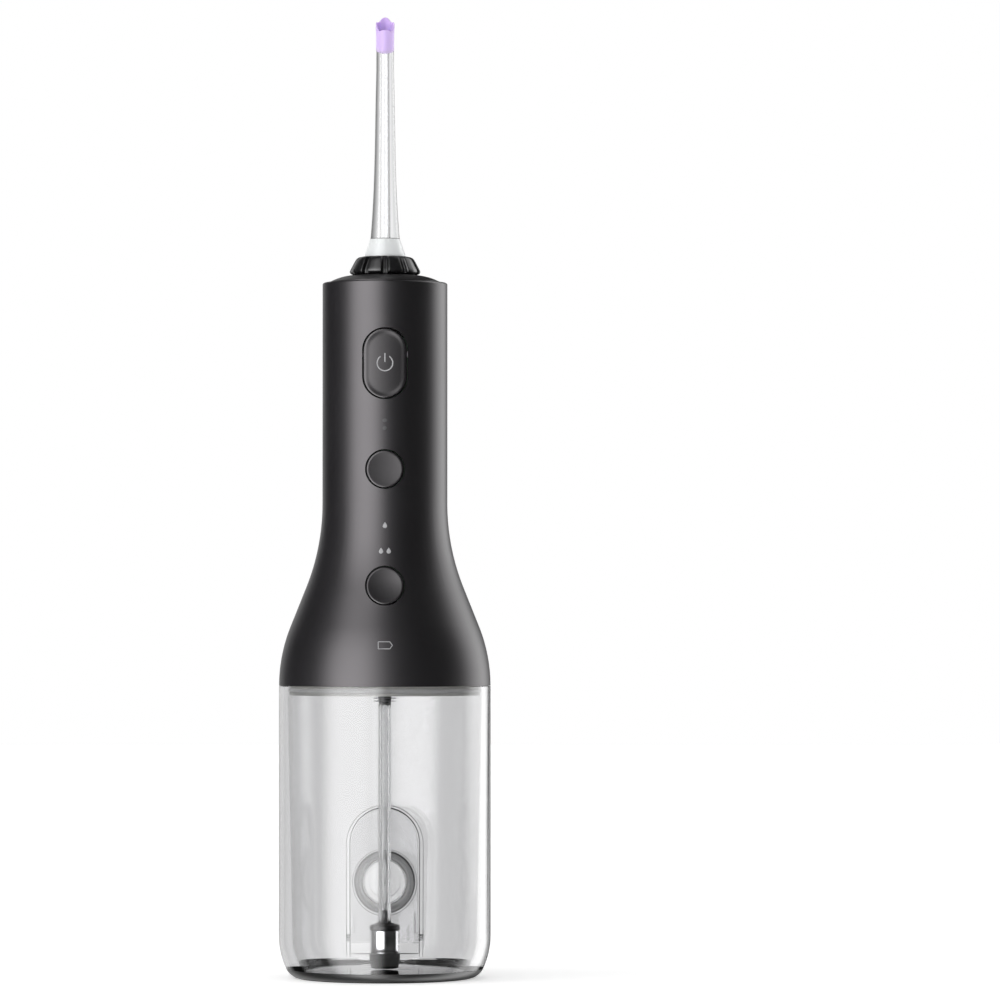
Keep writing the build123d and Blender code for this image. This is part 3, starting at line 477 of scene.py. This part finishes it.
def stadium(halfWidth, straight, steps=96):
    outline = []
    for angle in fullTurn(steps):
        shift = straight if sin(angle) >= 0 else -straight
        outline.append((halfWidth * cos(angle), halfWidth * sin(angle) + shift))
    return outline


def buttonSize(name):
    low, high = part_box(name)
    halfWidth = (high.x - low.x) / 2 - buttonShape["flange"]
    middle = (low.z + high.z) / 2
    straight = (high.z - low.z) / 2 - buttonShape["flange"] - halfWidth
    return halfWidth, straight, middle


def faceDepth(inset, across, halfWidth, values):
    # how far the face lies under the handle's skin
    edge = buttonShape["edge"]
    rounding = edge - sqrt(max(0.0, edge**2 - max(0.0, edge - inset) ** 2))
    reach = max(0.0, min(1.0, (inset - edge) / (halfWidth - edge)))
    bowl = values["dish"] * (1 - (1 - reach) ** 2)
    flat = values["flatten"] * (1 - (across / halfWidth) ** 2) * min(1.0, reach * buttonShape["flatRise"])
    return rounding + bowl + flat


def makeButton(name, values):
    halfWidth, straight, middle = buttonSize(name)
    tree = rayTree(nodes[name])
    probe = 1 - buttonShape["probe"] / halfWidth

    def ring(inset, skirt=False):
        row = []
        for x, z in stadium(halfWidth - inset, straight):
            front = frontPoint(tree, x * probe, middle + z * probe)
            depth = buttonShape["skirt"] if skirt else faceDepth(inset, x, halfWidth, values)
            row.append(Vector((x, front.y + depth, middle + z)))
        return row

    edge = buttonShape["edge"]
    edgeRings, faceRings = buttonShape["edgeRings"], buttonShape["faceRings"]
    insets = [edge * (1 - cos(pi / 2 * i / edgeRings)) for i in range(edgeRings + 1)]
    insets += [edge + (halfWidth - edge) * (i / faceRings) for i in range(1, faceRings)]
    insets.append(halfWidth * buttonShape["innermost"])
    rings = [ring(0, skirt=True)] + [ring(inset) for inset in insets]
    skin = skinOver(rings, capStart=True, capEnd=True)
    cap = addMesh(name.replace("_button", "Cap"), skin, "satinButton", name)
    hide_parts(name)
    return cap


caps = {name: makeButton(name, values) for name, values in buttons.items()}
print("buttons made")


# printed marks
marks = {
    "lift": 0.03 * mm,  # of a mark's face over the surface below it
    "fineLift": 0.01 * mm,
    "thickness": 0.02 * mm,
    "fineLine": 0.24 * mm,
    "symbolSize": 2.45 * mm,  # radius of the power symbol's ring
    "symbolRise": 0.1 * mm,  # of its centre over the button's middle
    "symbolLine": 0.38 * mm,
    "symbolGap": 33,  # degrees each side of the top
    "strokeFoot": 0.4 * mm,  # above the button's middle
    "strokeLength": 2.8 * mm,
    "batteryHeight": 12.9 * mm,  # above the handle's lowest edge
    "batterySize": (4.1 * mm, 2.2 * mm),
    "batteryNose": (0.5 * mm, 0.3 * mm),  # how far its corners stand back and its point stands out
    "dropletRows": ((18.8 * mm, 1), (10.8 * mm, 2)),  # height over the lower round button, and how many
    "dropletSize": 0.75 * mm,
    "dropletPitch": 2.4 * mm,
    "dropletWaist": 0.42,
    "dropletPoint": 0.45,
    "spotSize": (0.75 * mm, 0.62 * mm),  # of the two unlit lamps
    "spotInset": 0.8 * mm,
    "spotLift": 0.015 * mm,
    "fillLines": (3.3 * mm, 4.2 * mm),  # below the tank's rim
    "fillLineWidth": 7.0 * mm,
}


def addPrint(name, skin, finish, body):
    piece = addMesh(name, skin, finish, body)
    piece.modifiers.new("thickness", "SOLIDIFY").thickness = marks["thickness"]


def ribbon(name, tree, path, width, finish, body, closed=False, lift=marks["lift"]):
    rows = []
    for i, (x, z) in enumerate(path):
        across = acrossPath(path, i, closed) * width / 2
        rows.append([frontPoint(tree, x + across.x, z + across.y, lift),
                     frontPoint(tree, x - across.x, z - across.y, lift)])
    addPrint(name, skinOver(rows, closed=False, looped=closed), finish, body)


def filled(name, tree, outline, finish, lift=marks["lift"]):
    middleX = sum(x for x, z in outline) / len(outline)
    middleZ = sum(z for x, z in outline) / len(outline)
    rings = [[frontPoint(tree, middleX + (x - middleX) * share, middleZ + (z - middleZ) * share, lift)
              for x, z in outline] for share in (1.0, 0.75, 0.5, 0.25, 0.02)]
    addPrint(name, skinOver(rings, capEnd=True), finish, "handle")


def makePowerSymbol():
    middle = buttonSize("power_button")[2]
    tree = rayTree(caps["power_button"])
    radius, gap = marks["symbolSize"], marks["symbolGap"]
    arc = [radians(90 + gap + i * (360 - 2 * gap) / 60) for i in range(61)]
    circle = [(radius * cos(a), middle + marks["symbolRise"] + radius * sin(a)) for a in arc]
    stroke = [(0.0, middle + marks["strokeFoot"] + marks["strokeLength"] * i / 10) for i in range(11)]
    for name, path in (("powerRing", circle), ("powerStroke", stroke)):
        ribbon(name, tree, path, marks["symbolLine"], "printGrey", "power_button")


def makeBatteryMark():
    width, height = marks["batterySize"]
    back, out = marks["batteryNose"]
    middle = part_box("housing")[0].z + marks["batteryHeight"]
    left, right, low, high = -width / 2, width / 2, middle - height / 2, middle + height / 2
    corners = [(left, low), (right - back, low), (right + out, middle), (right - back, high), (left, high)]
    outline = []
    for corner, following in zip(corners, corners[1:] + corners[:1]):
        outline += [tuple(a + (b - a) * k / 8 for a, b in zip(corner, following)) for k in range(8)]
    ribbon("batteryMark", rayTree(nodes["housing"]), outline, marks["fineLine"], "printGrey", "handle",
           closed=True)


def dropletOutline(x, z):
    size = marks["dropletSize"]
    return [(x + size * sin(a) * (1 - marks["dropletWaist"] * ((1 + cos(a)) / 2) * (1 + cos(a)) / 2),
             z + size * (cos(a) + marks["dropletPoint"] * max(0.0, cos(a)) ** 3)) for a in fullTurn(28)]


def makeDroplets():
    tree = rayTree(nodes["housing"])
    for rise, count in marks["dropletRows"]:
        height = buttonSize("mode_button")[2] + rise
        for i in range(count):
            x = (i - (count - 1) / 2) * marks["dropletPitch"]
            filled(f"dropletMark.{int(height / mm)}.{i}", tree, dropletOutline(x, height), "printGrey")


def makeLampSpots():
    tree = rayTree(nodes["housing"])
    low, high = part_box("indicator_leds")
    halfWidth, halfHeight = marks["spotSize"]
    for i, height in enumerate((low.z + marks["spotInset"], high.z - marks["spotInset"])):
        disc = [(halfWidth * cos(a), height + halfHeight * sin(a)) for a in fullTurn(24)]
        filled("lampSpot." + str(i), tree, disc, "printDark", lift=marks["spotLift"])


def makeFillLines():
    tree = rayTree(nodes["tank_shell"])
    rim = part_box("tank_shell")[1].z
    half = marks["fillLineWidth"] / 2
    for i, drop in enumerate(marks["fillLines"]):
        line = [(half * (k / 12 - 1), rim - drop) for k in range(25)]
        ribbon("fillLine." + str(i), tree, line, marks["fineLine"], "printDark", "reservoir",
               lift=marks["fineLift"])


makePowerSymbol()
makeBatteryMark()
makeDroplets()
makeLampSpots()
makeFillLines()
print("marks printed")


# turning ring
ringShape = {
    "height": 5.7 * mm,  # of the part over the handle
    "grooves": 10,
    "grooveWidth": 2.0 * mm,
    "grooveDepth": 1.5 * mm,
    "grooveEnd": (6.9, 0.7),  # radius in millimetres where the grooves run out, and over how much
    "footShare": (0.3, 0.6),  # the grooves' share of their depth at the foot, and its rise in millimetres
    "steps": 60,  # points from one groove to the next
    "rounding": 0.16 * mm,  # of the grooves' edges
    "steepness": 2.2,
    "belly": 0.12 * mm,  # how much lower a petal's sides are than its middle
    "bore": 4.7 * mm,
    "boreDepth": 4.0 * mm,
    "boreEdge": 0.25 * mm,
    "lowBore": 3.65 * mm,
    "hub": 6.0 * mm,
    "hubFlange": 1.3 * mm,
    "flangeHeight": 1.6 * mm,
    "profile": [  # height above the ring's foot and radius over a petal, in millimetres
        (0.0, 9.8), (0.06, 10.35), (0.28, 10.85), (0.6, 11.13), (1.0, 11.2), (1.3, 11.12), (2.0, 10.78),
        (2.8, 10.36), (3.6, 9.94), (4.3, 9.56), (4.8, 9.24), (5.15, 8.94), (5.42, 8.55), (5.6, 8.1),
        (5.68, 7.6), (5.7, 6.9),
    ],
}


def makeRing():
    low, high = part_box("nozzle_ring")
    foot = high.z - ringShape["height"]
    pitch = 2 * pi / ringShape["grooves"]
    count = ringShape["grooves"] * ringShape["steps"]

    def ring(radius, z, cut=0.0):
        row = []
        for i, angle in enumerate(fullTurn(count)):
            off = abs((i / ringShape["steps"] + 0.5) % 1 - 0.5) * pitch * radius
            side = (ringShape["grooveWidth"] / 2 - off) / ringShape["rounding"] * ringShape["steepness"]
            share = 1 / (1 + exp(-max(-30.0, min(30.0, side))))
            belly = ringShape["belly"] * (1 - (2 * off / (pitch * radius)) ** 2) if cut else 0.0
            here = radius - cut * share - belly * (1 - share)
            row.append((here * cos(angle - pi / 2), here * sin(angle - pi / 2), z))
        return row

    bore, edge, bottom = ringShape["bore"], ringShape["boreEdge"], high.z - ringShape["boreDepth"]
    rings = [ring(bore, bottom), ring(bore, high.z - edge), ring(bore + edge, high.z)]
    end, run = ringShape["grooveEnd"]
    share, rise = ringShape["footShare"]
    for z, radius in ringShape["profile"][::-1]:
        fade = min(1.0, max(0.0, (radius - end) / run)) * min(1.0, share + z / rise)
        rings.append(ring(radius * mm, foot + z * mm, ringShape["grooveDepth"] * fade))
    hub, top = ringShape["hub"], low.z + ringShape["flangeHeight"]
    flange = hub + ringShape["hubFlange"]
    lowBore = ringShape["lowBore"]
    rings += [ring(hub + 0.5 * mm, foot + 0.1 * mm), ring(hub, foot - 0.3 * mm), ring(hub, top),
              ring(flange, top), ring(flange, low.z), ring(lowBore, low.z), ring(lowBore, bottom)]
    piece = addMesh("turningRing", skinOver(rings, looped=True), "glossBlack", "nozzle_ring")
    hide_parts("nozzle_ring")


makeRing()
print("turning ring made")


# soft tip, and a painted shadow line at the joint below the clear tube
tipShape = {  # profiles are heights along the tip and radii, in millimetres
    "lean": 28.0,  # degrees at its foot
    "length": 9.6 * mm,
    "footBack": 2.45 * mm,  # from the back of the carried tip to the axis at its foot
    "footDrop": 2.4 * mm,
    "petal": 0.95 * mm,  # how deep the dips between the four petals go
    "petalFoot": 4.0,  # height where they begin
    "petalRise": 5.6,
    "slope": 1.0 * mm,  # the mouth's front edge stands twice this much lower than its back edge
    "steps": 96,
    "outside": [(-0.85, 2.82), (-0.76, 2.88), (0.2, 2.86), (1.2, 2.84), (2.5, 2.84), (4.0, 2.86),
                (5.2, 2.89), (6.2, 2.93), (7.1, 2.97)],
    "mouth": [(8.9, 2.98), (9.1, 2.9), (9.18, 2.78), (9.1, 2.64), (8.8, 2.55)],
    "inside": [(8.1, 2.45), (7.4, 2.2), (6.4, 1.7), (5.4, 1.35), (4.5, 1.2), (4.2, 1.2), (4.19, 1.95),
               (0.05, 1.95), (0.04, 2.79)],
}
# painted shadow: a thin dark band round the foot of the clear tube, where it meets the white collar
jointShadowShape = {
    "rise": 5.6 * mm,  # over the turning ring
    "profile": [(4.55, 0.02), (4.66, 0.02), (4.68, 0.12), (4.66, 0.24), (4.55, 0.24)],
}


def makeTip():
    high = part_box("nozzle_tip")[1]
    lean = radians(tipShape["lean"])
    along = Vector((0, -sin(lean), cos(lean)))
    up = Vector((0, cos(lean), sin(lean)))
    foot = Vector((0, high.y - tipShape["footBack"],
                   high.z - tipShape["length"] * cos(lean) - tipShape["footDrop"] * sin(lean)))
    slope = tipShape["slope"] / tipShape["petal"]

    def ring(height, radius, petal):
        row = []
        for angle in fullTurn(tipShape["steps"]):
            dip = petal * (abs(sin(2 * angle)) ** 4 + slope * (1 - sin(angle)))
            centre = foot + along * (height * mm - dip)
            row.append(centre + Vector((radius * mm * cos(angle), 0, 0)) + up * (radius * mm * sin(angle)))
        return row

    def fading(profile):
        rows = []
        for height, radius in profile:
            share = max(0.0, (height - tipShape["petalFoot"]) / tipShape["petalRise"])
            rows.append(ring(height, radius, tipShape["petal"] * share))
        return rows

    rings = fading(tipShape["outside"])
    rings += [ring(height, radius, tipShape["petal"]) for height, radius in tipShape["mouth"]]
    rings += fading(tipShape["inside"])
    piece = addMesh("softTip", skinOver(rings, looped=True), "lilacSilicone", "nozzle")
    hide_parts("nozzle_tip")


def makePaintedJointShadow():
    rings = lathe(jointShadowShape["profile"], foot=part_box("nozzle_ring")[1].z + jointShadowShape["rise"])
    addMesh("paintedJointShadow", skinOver(rings, looped=True), "shadeLine", "nozzle")


makeTip()
makePaintedJointShadow()
print("tip made")


# door and filling plug
plugShape = {
    "zero": 1.2 * mm,  # where the profiles' depths count from, before the carried plug's inner end
    "pieces": {  # radius and depth in millimetres
        "plugLip": ("frostedRing", [
            (7.35, 0.25), (7.5, 0.0), (7.9, -0.1), (8.5, 0.05), (8.9, 0.3), (9.1, 0.42), (9.3, 0.3),
            (9.7, 0.1), (10.05, 0.2), (10.2, 0.6), (10.05, 1.05), (8.8, 1.15), (7.35, 1.15)]),
        "plugFace": ("clearFace", [
            (0.05, 0.5), (3.0, 0.5), (5.9, 0.5), (7.1, 0.48), (7.3, 0.5), (7.3, 1.1), (5.9, 1.12),
            (0.05, 1.12)]),
    },
}
# the dark lines here are painted shade: flat grey beads along the shaded edges of the clear door, its
# pocket, the plug and the hinge hooks
doorLook = {
    "proud": 0.12 * mm,  # how far the lines stand before the pocket's back
    "lineDepth": 0.12 * mm,
    "foot": 4.4 * mm,
    "sideWidth": 0.16 * mm,
    "arches": {  # half width, height over the door's top, width of the line at its top, finish
        "archShadeOuter": (12.8 * mm, 1.6 * mm, 0.25 * mm, "thinShade"),
        "archShadeInner": (11.6 * mm, 0.8 * mm, 0.5 * mm, "shadeLine"),
    },
    "holeRadius": 10.7 * mm,
    "holeShadeLine": 0.16 * mm,
    "edgeRadius": 9.85 * mm,
    "edgeProud": 0.1 * mm,
    "edgeShadeLine": (0.14 * mm, 0.42 * mm),  # thinnest width, and what its shaded side adds
    "edgeShade": 35,  # direction of that side in degrees
    "gripX": 7.9 * mm,
    "gripDepth": 31.3 * mm,
    "gripHeights": (9.4 * mm, 14.6 * mm),
    "gripWidth": 0.75 * mm,
    "gripThickness": 0.5 * mm,
    "hookX": 12.15 * mm,
    "hookRadius": 0.65 * mm,
    "hookTop": 13.4 * mm,
    "hookStep": 0.4 * mm,
    "hookFoot": 11.3 * mm,
    "hookShadeLine": 0.22 * mm,
}


def makePlug():
    low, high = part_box("fill_plug")
    middle = (low.z + high.z) / 2
    front = high.y - plugShape["zero"]
    for name, (finish, profile) in plugShape["pieces"].items():
        points, faces = skinOver(lathe(profile), looped=True)
        points = [(x, front + z, middle + y) for x, y, z in points]
        piece = addMesh(name, (points, faces), finish, "fill_door")
        if name == "plugLip":
            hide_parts("fill_plug")


def flatLine(name, path, y, finish, body, closed=False, deep=doorLook["lineDepth"]):
    # a flat bead along points of (x, z, width) on the plane at y
    rows = []
    for i, (x, z, width) in enumerate(path):
        across = acrossPath(path, i, closed) * width / 2
        rows.append([(x + across.x, y, z + across.y), (x + across.x, y + deep, z + across.y),
                     (x - across.x, y + deep, z - across.y), (x - across.x, y, z - across.y)])
    skin = skinOver(rows, looped=closed, capStart=not closed, capEnd=not closed)
    addMesh(name, skin, finish, body, smooth=False)


def archPath(half, top, topWidth):
    foot, sideWidth = doorLook["foot"], doorLook["sideWidth"]
    leg = top - half - foot
    path = [(-half, foot + leg * i / 24, sideWidth) for i in range(24)]
    for i in range(49):
        angle = pi - pi * i / 48
        width = sideWidth + (topWidth - sideWidth) * sin(angle) ** 1.5
        path.append((half * cos(angle), top - half + half * sin(angle), width))
    path += [(half, top - half - leg * i / 24, sideWidth) for i in range(1, 25)]
    return path


def gripPath(x):
    low, high = doorLook["gripHeights"]
    path = []
    for i in range(21):
        rounding = min(1.0, sqrt(max(0.05, sin(pi * i / 20))) * 1.6)
        path.append((x, low + (high - low) * i / 20, doorLook["gripWidth"] * rounding))
    return path


def hookPath(x):
    radius, width = doorLook["hookRadius"], doorLook["hookShadeLine"]
    heights = [doorLook["hookTop"] - doorLook["hookStep"] * i for i in range(6)]
    path = [(x - radius, z, width) for z in heights]
    for k in range(1, 12):
        angle = pi * k / 12
        path.append((x - radius * cos(angle), doorLook["hookFoot"] - radius * sin(angle), width))
    return path + [(x + radius, z, width) for z in heights[::-1]]


# lays the painted shade lines on the pocket, the plug and the hinges, and adds the pale grip pads
def makeDoorLook():
    low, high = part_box("fill_plug")
    middle = (low.z + high.z) / 2
    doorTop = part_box("door_panel")[1].z
    pocket = low.y - doorLook["proud"]
    for name, (half, rise, topWidth, finish) in doorLook["arches"].items():
        flatLine(name, archPath(half, doorTop + rise, topWidth), pocket, finish, "reservoir")

    radius = doorLook["holeRadius"]
    circle = [(radius * cos(a), middle + radius * sin(a), doorLook["holeShadeLine"]) for a in fullTurn(96)]
    flatLine("holeShadeLine", circle, pocket, "thinShade", "reservoir", closed=True)

    radius = doorLook["edgeRadius"]
    thin, more = doorLook["edgeShadeLine"]
    shaded = radians(doorLook["edgeShade"])
    rim = [(radius * cos(a), middle + radius * sin(a), thin + more * max(0.0, cos(a - shaded)) ** 2)
           for a in fullTurn(96)]
    flatLine("plugEdgeShade", rim, low.y - doorLook["edgeProud"], "shadeLine", "fill_door",
             closed=True)

    for side, label in ((-1, "left"), (1, "right")):
        flatLine("gripPad." + label, gripPath(side * doorLook["gripX"]), doorLook["gripDepth"], "clearFace",
                 "fill_door", deep=doorLook["gripThickness"])
        flatLine("hingeShade." + label, hookPath(side * doorLook["hookX"]), pocket, "thinShade", "reservoir")


makePlug()
makeDoorLook()
print("door details made")


# hose weight
weightShape = {  # radius in millimetres and height over the carried node's foot
    "weight_cap": ("weightCap", "greyPlastic", "weight_plastic", [
        (1.0, 0.0), (4.6, 0.0), (4.74, 0.1), (4.81, 0.35), (4.82, 0.8), (4.8, 1.25), (4.68, 1.52),
        (4.35, 1.72), (3.7, 1.9), (3.15, 2.02), (2.95, 2.12), (2.86, 2.3), (0.97, 2.3), (0.97, 6.25),
        (0.5, 6.3), (0.5, 0.2)]),
    "weight_body": ("weightSleeve", "polishedSteel", "weight_steel", [
        (1.5, 0.0), (4.4, 0.0), (4.56, 0.06), (4.6, 0.2), (4.6, 7.1), (4.56, 7.24), (4.4, 7.3),
        (1.5, 7.3)]),
    "weight_foot": ("weightFoot", "softRubber", "foot_rubber", [
        (1.5, 0.0), (3.9, 0.0), (4.2, 0.08), (4.36, 0.4), (4.55, 1.4), (4.75, 2.6), (4.86, 3.7),
        (4.85, 4.4), (4.78, 4.72), (4.6, 4.8), (1.5, 4.8)]),
}


def makeWeight():
    pieces = []
    for node, (name, finish, slot, profile) in weightShape.items():
        rings = lathe(profile, steps=72, foot=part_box(node)[0].z)
        piece = addMesh(name, skinOver(rings, looped=True), finish, "pickup")
        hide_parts(node)
        pieces.append(piece)
    return pieces


weightPieces = makeWeight()
print("weight made")


# suction hose
hoseShape = {
    "outside": 2.0 * mm,
    "bore": 1.0 * mm,
    "steps": 96,
    "cup": [(1.98, 0.0), (1.86, 0.12), (1.6, 0.55), (1.0, 1.0)],  # radii and depths of its hollow top
    "cupDepth": 1.2 * mm,
}


def hoseRoute():
    low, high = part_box("suction_hose")
    curve = bpy.data.curves.new("hoseRoute", "CURVE")
    curve.dimensions = "3D"
    curve.resolution_u = 12
    spline = curve.splines.new("NURBS")
    spline.points.add(3)
    for i, point in enumerate(spline.points):
        point.co = (0, 0, high.z + (low.z - high.z) * i / 3, 1)
    spline.order_u = 3
    spline.use_endpoint_u = True
    holder = bpy.data.objects.new("hoseRoute", curve)
    bpy.context.collection.objects.link(holder)
    line = bpy.data.meshes.new_from_object(holder)
    points = [v.co.copy() for v in line.vertices]
    bpy.data.objects.remove(holder)
    bpy.data.curves.remove(curve)
    bpy.data.meshes.remove(line)
    return points


def makeHose():
    outside = hoseShape["outside"]
    route = hoseRoute()
    top = route[0]

    def ring(centre, radius):
        return [centre + Vector((radius * cos(a), radius * sin(a), 0))
                for a in fullTurn(hoseShape["steps"])]

    rings = [ring(centre, outside) for centre in route[::-1]]
    rings += [ring(top - Vector((0, 0, drop * mm)), radius * mm) for radius, drop in hoseShape["cup"]]
    rings += [ring(centre, hoseShape["bore"]) for centre in route
              if top.z - centre.z > hoseShape["cupDepth"]]
    piece = addMesh("hangingHose", skinOver(rings, looped=True), "milkyHose", "pickup")
    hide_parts("suction_hose")


makeHose()
print("hose hung")
